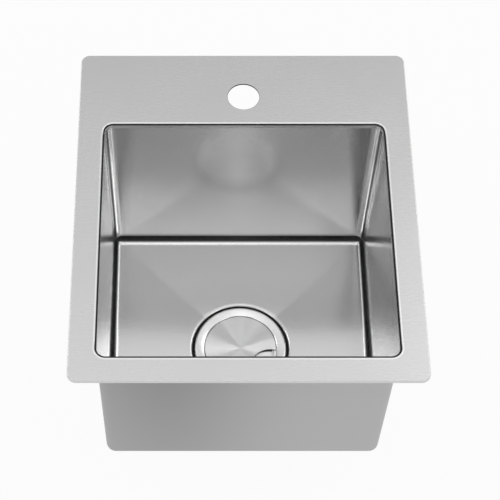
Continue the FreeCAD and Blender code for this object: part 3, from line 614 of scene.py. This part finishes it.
# %% Floor of the bowl
# A pair of the seat's profile is the way out from the seat's radius, in mm, and the share of the way down.
SOFT_CREASE = 0.02
FLOOR_SHARES = (0.004, 0.1, 0.2, 0.3, 0.4, 0.5, 0.6, 0.7, 0.8, 0.9, 0.97)
SEAT_BORDER = 2.4 * MM
SEAT_PROFILE = ((2.2, 0.0), (1.4, 0.05), (0.7, 0.2), (0.2, 0.45), (0.0, 0.7), (-0.1, 0.9), (-0.5, 1.0))
HOLE_RADIUS = 45 * MM


def floor_height(point):
    """Height of the floor, which falls from its edge to the drain in four creased faces."""
    reach_y = half_y - FOLD + (bowl_middle.y - drain.y) * (1 if point.y > drain.y else -1)
    across = abs(point.x - drain.x) / (half_x - FOLD)
    along = abs(point.y - drain.y) / reach_y
    soft = max(SOFT_CREASE - abs(across - along), 0.0) ** 2 / (4 * SOFT_CREASE)
    return floor_edge - FALL * (1 - max(across, along) - soft)


def floor_loops(border, offset):
    """Loops of one skin from the floor's edge over the drain's seat to its hole."""
    axis = Vector((drain.x, drain.y, 0))
    rays = [(point - axis).normalized() for point in border]
    loops = []
    for share in FLOOR_SHARES:
        loop = []
        for point, ray in zip(border, rays):
            spot = point.lerp(axis + ray * (seat_radius + SEAT_BORDER + offset), share)
            loop.append(Vector((spot.x, spot.y, floor_height(spot) - offset)))
        loops.append(loop)
    for out, share in SEAT_PROFILE:
        loop = []
        for ray in rays:
            spot = axis + ray * (seat_radius + out * MM + offset)
            height = floor_height(spot) * (1 - share) + seat * share
            loop.append(Vector((spot.x, spot.y, height - offset)))
        loops.append(loop)
    hole = Vector((drain.x, drain.y, seat - offset))
    loops.append([hole + ray * HOLE_RADIUS for ray in rays])
    return loops


print(f"the floor falls {FALL / MM:.0f} mm to the drain")


# %% Bowl
def bowl_skin(offset):
    """Loops of one skin from the rim to the drain hole; the outer skin lies one sheet outside."""
    walls = wall_loops(offset)
    border = [Vector((point.x, point.y, 0)) for point in walls[-1]]
    return walls + floor_loops(border, offset)


inside = bowl_skin(0.0)
inner_faces = (len(inside) - 1) * len(inside[0])
bowl = show("bowl_sheet", skin(inside + bowl_skin(SHEET)[::-1], ring=True), "sink", "sink_bowl", sharp=50)
print(f"bowl: {len(bowl.data.polygons)} faces, {inner_faces} of them inside")

# %% [markdown]
# ## Outside of the bowl
# The outside of the bowl is dull, as it came from the mill, and its steel is painted darker than the
# inside's, as painted shade. A soft cloud of painted shade lies left of its middle. A painted texture could
# hold the cloud, but it would need an image, so a bell curve of the place across the wall draws it. It is
# stronger towards the rim, where it stands for the rim's shadow.

# %% Outside of the bowl
CLOUD_MIDDLE = -88 * MM
CLOUD_SPREAD = 66 * MM
CLOUD_SHADE = 0.38
CLOUD_CLIMB = 0.83
# The outside's steel is painted darker than the inside's, as painted shade.
outside = satin_steel("outer_steel", base=0.49, roughness=0.38, rim_shade=0.0)
x, z = outside.axes("XZ")
# Painted shade: a dark cloud left of the middle, stronger towards the rim, where the rim's shadow falls.
off_middle = (x - CLOUD_MIDDLE) * (1 / CLOUD_SPREAD)
outside_shade = (off_middle * off_middle * -0.5).math("EXPONENT") * (CLOUD_SHADE + CLOUD_CLIMB * z)
outside.paint(outside_shade, 0.0)
bowl.data.materials[0] = outside.owner
print("the outside has its clouded mill finish")

# %% [markdown]
# ## Inside of the bowl
# The folds between walls and floor and the upper corners of the back wall get painted shade, which stands
# for the dark reflections there, and the upright faces are painted brighter than the floor. The inside of
# the front wall gets painted shade at its sides, stronger lower down, and a painted highlight in its middle,
# which show where the back wall and floor mirror it. Faces with other materials would give these places
# hard borders, so they are masks worked out from the place on the sheet.

# %% Folds of the bowl
FLOOR_LINE = (0.08, 0.22)
FLOOR_SIDE = (0.45, 0.2)
CORNER_LINE = (0.3, 0.42)
CORNER_SIDE = (-0.15, 0.05)
# Painted light: the inside's upright faces are painted 17 percent brighter than its floor.
folded = satin_steel("folded_steel", STEEL, roughness=0.13, lean=-0.048, upright=1.17)
x, y, z = folded.axes()
to_side = abs(x).ramp(half_x - FOLD, half_x)
to_end = abs(y - bowl_middle.y).ramp(half_y - FOLD, half_y)
to_floor = z.ramp(floor_edge + FOLD, floor_edge)
to_wall = to_side.math("MAXIMUM", to_end)
# Painted shade along the folds, which stands for the dark reflections in them.
floor_fold_shade = (to_wall * to_floor).ramp(*FLOOR_LINE) * (to_floor - to_wall).ramp(*FLOOR_SIDE)
corner_fold_shade = (to_side * to_end).ramp(*CORNER_LINE) * (to_side - to_end).ramp(*CORNER_SIDE)
print("the folds have masks")

# %% Corners of the back wall
CORNER_WIDTH = 8 * MM
CORNER_GROWTH = 24 * MM
CORNER_SOFT = 8 * MM
LEFT_SHADE = 0.25
RIGHT_EXTRA = 0.4
HALF_WAY = 100 * MM
to_corner = half_x - abs(x)
rise = z.ramp(floor_edge, bowl_high.z)
# Painted shade in the upper corners of the back wall: wider towards the rim and darker on the right.
within = (CORNER_WIDTH + CORNER_GROWTH * rise - to_corner).ramp(-CORNER_SOFT, CORNER_SOFT)
off_fold = to_corner.ramp(FOLD - 1 * MM, FOLD + 3 * MM)
on_back = y.ramp(bowl_high.y - 12 * MM, bowl_high.y - 8 * MM)
corner_painted_shade = within * off_fold * on_back * (LEFT_SHADE + RIGHT_EXTRA * x.ramp(-HALF_WAY, HALF_WAY))
print("the back wall's corners have a mask")

# %% Front wall
FRONT_HIGHLIGHT_MIDDLE = 12 * MM
FRONT_HIGHLIGHT_HALF = 14 * MM
FRONT_HIGHLIGHT_BORDER = 32 * MM
FRONT_SHADE_TOP = 0.06
FRONT_SHADE_EXTRA = 0.22
FRONT_SHADE_DEPTH = -50 * MM
# Painted highlight in the middle of the front wall's inside, and painted shade at its sides, stronger lower
# down.
on_front = y.ramp(bowl_low.y + 9 * MM, bowl_low.y + 6 * MM)
off_front_highlight = abs(x - FRONT_HIGHLIGHT_MIDDLE).ramp(FRONT_HIGHLIGHT_HALF, FRONT_HIGHLIGHT_BORDER)
front_painted_shade = on_front * off_front_highlight * (FRONT_SHADE_TOP + FRONT_SHADE_EXTRA * z.ramp(0.0, FRONT_SHADE_DEPTH))
folded.paint(on_front * (1 - off_front_highlight), 1.0)
print("the front wall is buffed")

# %% Shade the inside
FOLD_SHADE_GREY = 0.06
CORNER_SHARE = 0.8
# Painted shade: the folds, the back wall's corners and the front wall's sides are laid over with dark grey.
shade = floor_fold_shade.math("MAXIMUM", corner_fold_shade * CORNER_SHARE).math("MAXIMUM", corner_painted_shade)
folded.paint(shade.math("MAXIMUM", front_painted_shade), FOLD_SHADE_GREY)
bowl.data.materials.append(folded.owner)
for face in bowl.data.polygons[:inner_faces]:
    face.material_index = 1
print("the inside of the bowl is shaded")

# %% [markdown]
# ## Edges of the deck
# Where the deck rolls over into the bowl, a line of painted shade and a painted highlight run round the
# opening, and the punched tap hole's edge has painted shade. The deck keeps its solid, whose faces are few
# and large, so these lines can't be faces of their own. They are masks of the distance from the opening and
# from the tap hole.

# %% Lines round the opening
ROLL = 2 * MM
NEAR_END = 20 * MM
FRONT_SHIFT = 0.3
BACK_SHIFT = 0.65
SHADE_LINE = (1.05 * ROLL, 0.85 * ROLL)
SHADE_DEPTH = (3.5 * MM, 2.2 * MM)
ROLL_HIGHLIGHT_START = (0.9 * ROLL, 1.1 * ROLL)
ROLL_HIGHLIGHT_END = (2.1 * ROLL, 1.7 * ROLL)
deck_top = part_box("deck_rim")[1].z
deck = satin_steel("deck_steel", STEEL, roughness=0.21)
x, y, z = deck.axes()
past_side = (abs(x) - (half_x - FOLD)).math("MAXIMUM", 0.0)
past_end = (abs(y - bowl_middle.y) - (half_y - FOLD)).math("MAXIMUM", 0.0)
in_front = y.ramp(bowl_low.y + NEAR_END, bowl_low.y)
at_back = y.ramp(bowl_high.y - NEAR_END, bowl_high.y)
from_opening = (past_side * past_side + past_end * past_end).math("SQRT") - FOLD
beside = from_opening - ROLL * (FRONT_SHIFT * in_front - BACK_SHIFT * at_back)
# Painted shade along the top of the rolled edge, and a painted highlight just outside it.
rolled_in_shade = beside.ramp(*SHADE_LINE) * (deck_top - z).ramp(*SHADE_DEPTH)
roll_highlight = beside.ramp(*ROLL_HIGHLIGHT_START) * beside.ramp(*ROLL_HIGHLIGHT_END)
print("the opening has its lines")

# %% Edge of the tap hole
TAP_HOLE = Vector((0.0, 0.154, deck_top))
TAP_RADIUS = 18.5 * MM
PUNCH_START = 0.4 * MM
PUNCH_FULL = 0.1 * MM
EDGE_SHADE_GREY = 0.03
here = deck.add("ShaderNodeTexCoord", output="Object")
from_tap = deck.add("ShaderNodeVectorMath", {"operation": "DISTANCE"}, {0: here, 1: TAP_HOLE}, "Value")
# Painted shade round the tap hole's edge.
punched_shade = from_tap.ramp(TAP_RADIUS + PUNCH_START, TAP_RADIUS + PUNCH_FULL)
# The rolled edge gets its painted highlight, then the opening's line and the tap hole get painted shade.
deck.paint(roll_highlight, 1.0)
deck.paint(rolled_in_shade.math("MAXIMUM", punched_shade), EDGE_SHADE_GREY)
nodes["deck_rim"].data.materials[0] = deck.owner
print("the deck's edges are shaded")

# %% [markdown]
# ## The strainer
# The strainer is a turned cup: a dished, polished flange that shows in the bowl, a shelf for the cap, a
# threaded outside for the lock nut, and a threaded outlet with a cross that guides the basket's post. Bump
# could fake the threads, but they show in the outline, so they are wound as real ridges along a helix. Below
# the flange the cup has the duller finish of drawn steel.

# %% Threads
# A pair of the profile is a share of the thread's depth and a share of its pitch.
THREAD_PROFILE = ((0, 0.0), (0, 0.12), (1, 0.44), (1, 0.68), (0, 1.0))


def wind(shape, centre, low, high, crest, depth, pitch, steps, flat=None):
    """Wind a thread's ridges and grooves round an upright axis.

    A flat is a direction and the half width that the thread is cut to along it.
    """
    def point(number, radius, rise):
        angle = 2 * math.pi * number / steps
        height = min(max(low + pitch * (number / steps + rise), low), high)
        spot = Vector((radius * math.cos(angle), radius * math.sin(angle), 0))
        if flat:
            along = spot.dot(flat[0])
            spot -= flat[0] * (along - min(max(along, -flat[1]), flat[1]))
        return shape.verts.new((centre.x + spot.x, centre.y + spot.y, height))

    count = int((high - low) / pitch * steps)
    lanes = [[point(number, crest - depth * part, rise) for number in range(-steps, count + 1)]
             for part, rise in THREAD_PROFILE]
    for lane, next_lane in zip(lanes, lanes[1:]):
        for number in range(1, len(lane)):
            shape.faces.new((lane[number - 1], lane[number], next_lane[number], next_lane[number - 1]))


print("threads can be wound")

# %% Section of the strainer
# A point of the section is a radius and a height over the flange's underside, in mm.
FLANGE = seat + 1.5 * MM
CREST_CURVE = ((54.2, 3.3), (55.7, 3.5), (56.3, 2.3))
BEND_STEPS = 6


def bend(start, middle, end):
    """Points on a smooth bend from start to end that leans towards middle."""
    points = []
    for step in range(BEND_STEPS + 1):
        share = step / BEND_STEPS
        points.append(tuple(a * (1 - share) ** 2 + 2 * b * share * (1 - share) + c * share ** 2
                            for a, b, c in zip(start, middle, end)))
    return points


strainer_section = [
    (41.5, 0.1), (41.7, 0.3), (44.8, 0.3), (44.8, 1.85), (45.0, 2.08), (46.0, 2.26), (49.0, 2.69),
    *bend(*CREST_CURVE), (56.9, 1.1), (57.0, 0.75), (57.0, 0.2), (56.8, 0.0), (45.0, 0.0), (43.2, -0.2),
    (43.0, -0.6), (43.0, -3.0), (42.3, -3.4), (42.3, -37.6), (43.0, -38.0), (43.0, -53.2), (42.4, -54.5),
    (41.2, -55.0), (25.0, -55.0), (23.8, -55.4), (23.5, -56.2), (23.5, -57.0), (22.7, -57.4), (22.7, -69.6),
    (23.2, -70.4), (22.8, -71.0), (20.3, -71.0), (20.0, -70.7), (20.0, -54.0), (20.6, -53.5), (39.5, -53.5),
    (40.9, -52.9), (41.5, -51.5), (41.5, -20.0),
]
print(f"strainer's section of {len(strainer_section)} points")

# %% Cup with its threads
cup = [(radius * MM, FLANGE + height * MM) for radius, height in strainer_section]
shape = turn(drain, cup, steps=144, ring=True)
wind(shape, drain, FLANGE - 38.0 * MM, FLANGE - 3.0 * MM, crest=43.0 * MM, depth=0.75 * MM, pitch=2.3 * MM,
     steps=96)
wind(shape, drain, FLANGE - 70.0 * MM, FLANGE - 57.0 * MM, crest=23.5 * MM, depth=0.8 * MM, pitch=2.2 * MM,
     steps=64)
print(f"cup: {len(shape.faces)} faces")

# %% Cross in the outlet
BAR_LENGTH = 43.0 * MM
BAR_WIDTH = 3.0 * MM
BAR_HEIGHT = 5.0 * MM
BAR_MIDDLE = FLANGE - 68.5 * MM
DRAWN_BELOW = seat - 2 * MM
for length, width in ((BAR_LENGTH, BAR_WIDTH), (BAR_WIDTH, BAR_LENGTH)):
    bar = bmesh.ops.create_cube(shape, size=1.0)["verts"]
    bmesh.ops.scale(shape, verts=bar, vec=(length, width, BAR_HEIGHT))
    bmesh.ops.translate(shape, verts=bar, vec=(drain.x, drain.y, BAR_MIDDLE))
    edges = list({edge for vertex in bar for edge in vertex.link_edges})
    bmesh.ops.bevel(shape, geom=edges, offset=0.6 * MM, segments=2, profile=0.5, affect="EDGES")
guide_section = ring_section(inner=3.3, outer=7.3, low=66.0, high=71.0, edge=0.5)
guide = [(radius * MM, FLANGE - height * MM) for radius, height in guide_section]
turn(drain, guide, steps=48, ring=True, shape=shape)
strainer = show("strainer_turned", shape, "sink", "strainer_body", sharp=40)
strainer.data.materials.append(finishes["drawn_steel"])
for face in strainer.data.polygons:
    face.material_index = int(face.center.z < DRAWN_BELOW)
print(f"strainer: {len(strainer.data.polygons)} faces")

# %% [markdown]
# ## Clips under the rim
# Each clip is a round-headed bolt with rolled threads and two flats, a stamped claw keyed to the flats, and a
# nut. A bevelled prism would be a poor nut: real nuts are cut by a cone at both ends, which leaves arched
# edges on the faces. So each loop of a nut follows its flats, and its height follows the cone.

# %% Nuts
FLAT_STEPS = 8
CONE_START = 0.98
CONE_SLOPE = math.tan(math.radians(30))
FACE_SHARE = 0.97
LEAD_SHARE = 0.12


def nut_section_loops(centre, turned_by, sides, apothem, section):
    """Loops of a nut; a point of its section is a radius, a height and which way the cone cuts, or 0."""
    loops = []
    for radius, height, cone in section:
        loop = []
        for step in range(sides * FLAT_STEPS):
            angle = 2 * math.pi * step / (sides * FLAT_STEPS)
            off_middle = (angle + math.pi / sides) % (2 * math.pi / sides) - math.pi / sides
            face = apothem / math.cos(math.pi / sides - abs(off_middle))
            reach = radius if cone == 0 else face
            drop = cone * max(face - CONE_START * apothem, 0) * CONE_SLOPE
            loop.append((centre.x + reach * math.cos(angle + turned_by),
                         centre.y + reach * math.sin(angle + turned_by), height + drop))
        loops.append(loop)
    return loops


def make_nut(node, body, sides, bore, turned_by=0.0):
    """Show a nut with a plain bore in place of its solid."""
    low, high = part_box(node)
    corner = max(high.x - low.x, high.y - low.y) / 2
    apothem = corner * math.cos(math.pi / sides)
    lead = LEAD_SHARE * bore
    section = [(bore, low.z + lead, 0), (bore + lead, low.z, 0), (FACE_SHARE * apothem, low.z, 0),
               (0, low.z, 1), (0, high.z, -1), (FACE_SHARE * apothem, high.z, 0), (bore + lead, high.z, 0),
               (bore, high.z - lead, 0)]
    loops = nut_section_loops((low + high) / 2, turned_by, sides, apothem, section)
    show(f"{node}_cut", skin(loops, ring=True), body, node, sharp=25)


print("nuts can be cut")

# %% Bolts
HEAD_HEIGHT = 3.0 * MM
HALF_FLATS = 2.5 * MM


def make_bolt(spot, outwards):
    """Show a clip's bolt, with its flats square to the way outwards, in place of its solid."""
    low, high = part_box(f"clip_bolt_{spot}")
    centre = (low + high) / 2
    under_head = high.z - HEAD_HEIGHT
    # Radius and height of the core's points, from the bolt's tip to the top of its head.
    core = [(1.6 * MM, low.z), (2.42 * MM, low.z + 0.8 * MM), (2.42 * MM, under_head), (4.3 * MM, under_head),
            (4.5 * MM, under_head + 0.3 * MM), (4.5 * MM, high.z - 1.0 * MM), (4.2 * MM, high.z - 0.4 * MM),
            (3.4 * MM, high.z), (1.0 * MM, high.z)]
    shape = turn(centre, core, steps=32)
    wind(shape, centre, low.z + 0.6 * MM, under_head, crest=3.0 * MM, depth=0.55 * MM, pitch=1.0 * MM,
         steps=20, flat=(outwards, HALF_FLATS))
    show(f"clip_bolt_{spot}_rolled", shape, f"bolt_{spot}", f"clip_bolt_{spot}", sharp=30)


print("bolts can be rolled")

# %% Six clips on their rails
OUTWARDS = {"right": Vector((1, 0, 0)), "left": Vector((1, 0, 0)), "back": Vector((0, 1, 0))}
CLIP_BORE = 3.1 * MM
spots = [node.removeprefix("clip_bolt_") for node in nodes if node.startswith("clip_bolt_")]
for spot in spots:
    outwards = OUTWARDS[spot.split("_")[0]]
    make_bolt(spot, outwards)
    turned_by = math.atan2(outwards.y, outwards.x)
    make_nut(f"clip_nut_{spot}", f"nut_{spot}", sides=6, bore=CLIP_BORE, turned_by=turned_by)
    rounded(f"clip_claw_{spot}", f"claw_{spot}", width=0.3 * MM)
for side in OUTWARDS:
    rounded(f"clip_rail_{side}", "sink", width=0.25 * MM)
print(f"{len(spots)} clips on {len(OUTWARDS)} rails")

# %% [markdown]
# ## Seal and sound pads
# Foam and rubber never have knife edges: the seal bulges a little where the rim presses on it, and the pads
# have soft rounded borders. Cloth simulation could swell them, but they are thin and glued down, so they are
# skins over rectangles with round corners, laid on the sheet that they are glued to.

# %% Seal
# A point of the profile is an inset from the seal's side and a height, in mm.
SEAL_WIDTH = 9.0
SEAL_CORNER = 7.5
LEAST_CORNER = 0.8
SEAL_PROFILE = ((0.5, 0.0), (0.12, 0.25), (0.0, 1.25), (0.12, 2.25), (0.5, 2.5))
seal_low, seal_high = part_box("rim_seal")
seal_middle = (seal_low + seal_high) / 2
seal_half = (seal_high - seal_low) / 2
seal_section = [*SEAL_PROFILE, *((SEAL_WIDTH - inset, rise) for inset, rise in reversed(SEAL_PROFILE))]
loops = [rectangle_loop(seal_middle, seal_half.x - inset * MM, seal_half.y - inset * MM,
                        max(SEAL_CORNER - inset, LEAST_CORNER) * MM, seal_low.z + rise * MM)
         for inset, rise in seal_section]
seal = show("rim_seal_foam", skin(loops, ring=True), "sink", "rim_seal", sharp=60)
print("seal lies under the rim")

# %% Pads on the walls
# A point of the profile is an inset from the pad's border and a height over its glued face, in mm.
PAD_PROFILE = ((0.0, 0.0), (0.0, 1.0), (0.12, 1.4), (0.4, 1.75), (0.9, 1.93), (1.8, 2.0), (6.0, 2.0))
PAD_CORNER = 8.0
LEAST_PAD_CORNER = 2.0
WALL_PADS = (
    ("sound_pad_right", Vector((0, 1, 0)), Vector((1, 0, 0))),
    ("sound_pad_left", Vector((0, -1, 0)), Vector((-1, 0, 0))),
    ("sound_pad_back", Vector((-1, 0, 0)), Vector((0, 1, 0))),
)


def make_pad(node, width, depth, placed):
    """A glued pad; the matrix puts its width, depth and thickness in place."""
    loops = []
    for inset, rise in PAD_PROFILE:
        flat = rectangle_loop(Vector((0, 0, 0)), width / 2 - inset * MM, depth / 2 - inset * MM,
                              max(PAD_CORNER - inset, LEAST_PAD_CORNER) * MM, rise * MM)
        loops.append([placed @ point for point in flat])
    pad = show(f"{node}_moulded", skin(loops), "sink", node, sharp=60)


for node, across, outwards in WALL_PADS:
    low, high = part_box(node)
    glued = (low + high) / 2 - outwards * abs((high - low).dot(outwards)) / 2
    axes = Matrix((across, (0, 0, 1), outwards)).transposed().to_4x4()
    make_pad(node, abs((high - low).dot(across)), high.z - low.z, Matrix.Translation(glued) @ axes)
print(f"{len(WALL_PADS)} pads on the walls")

# %% Pads below the floor
FLOOR_PADS = {"sound_pad_floor_left": -1, "sound_pad_floor_right": 1}
FACE_DOWN = Matrix(((1, 0, 0), (0, -1, 0), (0, 0, -1))).transposed().to_4x4()
tilt = math.atan(FALL / (half_x - FOLD))
for node, side in FLOOR_PADS.items():
    low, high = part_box(node)
    hinge = Vector((side * (half_x - FOLD), bowl_middle.y, floor_edge - SHEET))
    inner = hinge.x - (low.x if side > 0 else high.x)
    outer = hinge.x - (high.x if side > 0 else low.x)
    width = abs(inner - outer) / math.cos(tilt)
    middle = -(inner + outer) / 2 / math.cos(tilt)
    tilted = Matrix.Translation(hinge) @ Matrix.Rotation(-side * tilt, 4, "Y")
    make_pad(node, width, high.y - low.y, tilted @ Matrix.Translation((middle, 0, 0)) @ FACE_DOWN)
print(f"{len(FLOOR_PADS)} pads below the floor")

# %% [markdown]
# ## Gaskets, rings and stopper
# Five flat rings lie in the waste: gaskets above and below the sheet, a friction ring, a tail washer and the
# basket's stopper. A torus would be too round for them, so a flat section with rounded edges is turned round
# the drain's axis, and only the bore and the rounding differ.

# %% Gaskets, rings and stopper
# Each ring has a bore's radius and a rounding of its edges, in mm, and the body that it rides on.
RINGS = {
    "flange_gasket": (45.0, 0.3, "sink"),
    "under_gasket": (43.1, 0.6, "sink"),
    "friction_ring": (43.1, 0.2, "sink"),
    "tail_washer": (20.0, 0.4, "sink"),
    "basket_stopper": (3.1, 1.2, "basket"),
}
for node, (bore, edge, body) in RINGS.items():
    low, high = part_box(node)
    section = ring_section(bore * MM, (high.x - low.x) / 2, low.z, high.z, edge * MM)
    show(f"{node}_moulded", turn(drain, section, steps=120, ring=True), body, node, sharp=60)
print(f"{len(RINGS)} rings are in place")

# %% [markdown]
# ## Nuts of the waste
# The cast lock nut holds the strainer, the coupling nut holds the tailpiece, and a small nut holds the
# stopper. The lock nut's solid has its shape already and only needs softer edges. The coupling nut is cut by
# cones like the clips' nuts, but with a shoulder inside, so it gets a section of its own.

# %% Nuts of the waste
COUPLING_SIDES = 8
TUBE_BORE = 19.55 * MM
THREAD_BORE = 23.6 * MM
SHOULDER = 3.0 * MM
TUBE_LEAD = 0.4 * MM
THREAD_LEAD = 0.8 * MM
STOPPER_BORE = 3.05 * MM
rounded("lock_nut", "sink", width=0.7 * MM)
low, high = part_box("coupling_nut")
apothem = (high.x - low.x) / 2 * math.cos(math.pi / COUPLING_SIDES)
coupling = [(TUBE_BORE, low.z + TUBE_LEAD, 0), (TUBE_BORE + TUBE_LEAD, low.z, 0),
            (FACE_SHARE * apothem, low.z, 0), (0, low.z, 1), (0, high.z, -1),
            (FACE_SHARE * apothem, high.z, 0), (THREAD_BORE + THREAD_LEAD, high.z, 0),
            (THREAD_BORE, high.z - THREAD_LEAD, 0), (THREAD_BORE, low.z + SHOULDER, 0),
            (TUBE_BORE, low.z + SHOULDER, 0)]
loops = nut_section_loops(drain, 0.0, COUPLING_SIDES, apothem, coupling)
show("coupling_nut_cut", skin(loops, ring=True), "sink", "coupling_nut", sharp=25)
make_nut("stopper_nut", "basket", sides=6, bore=STOPPER_BORE)
print("lock nut, coupling nut and stopper nut are cut")
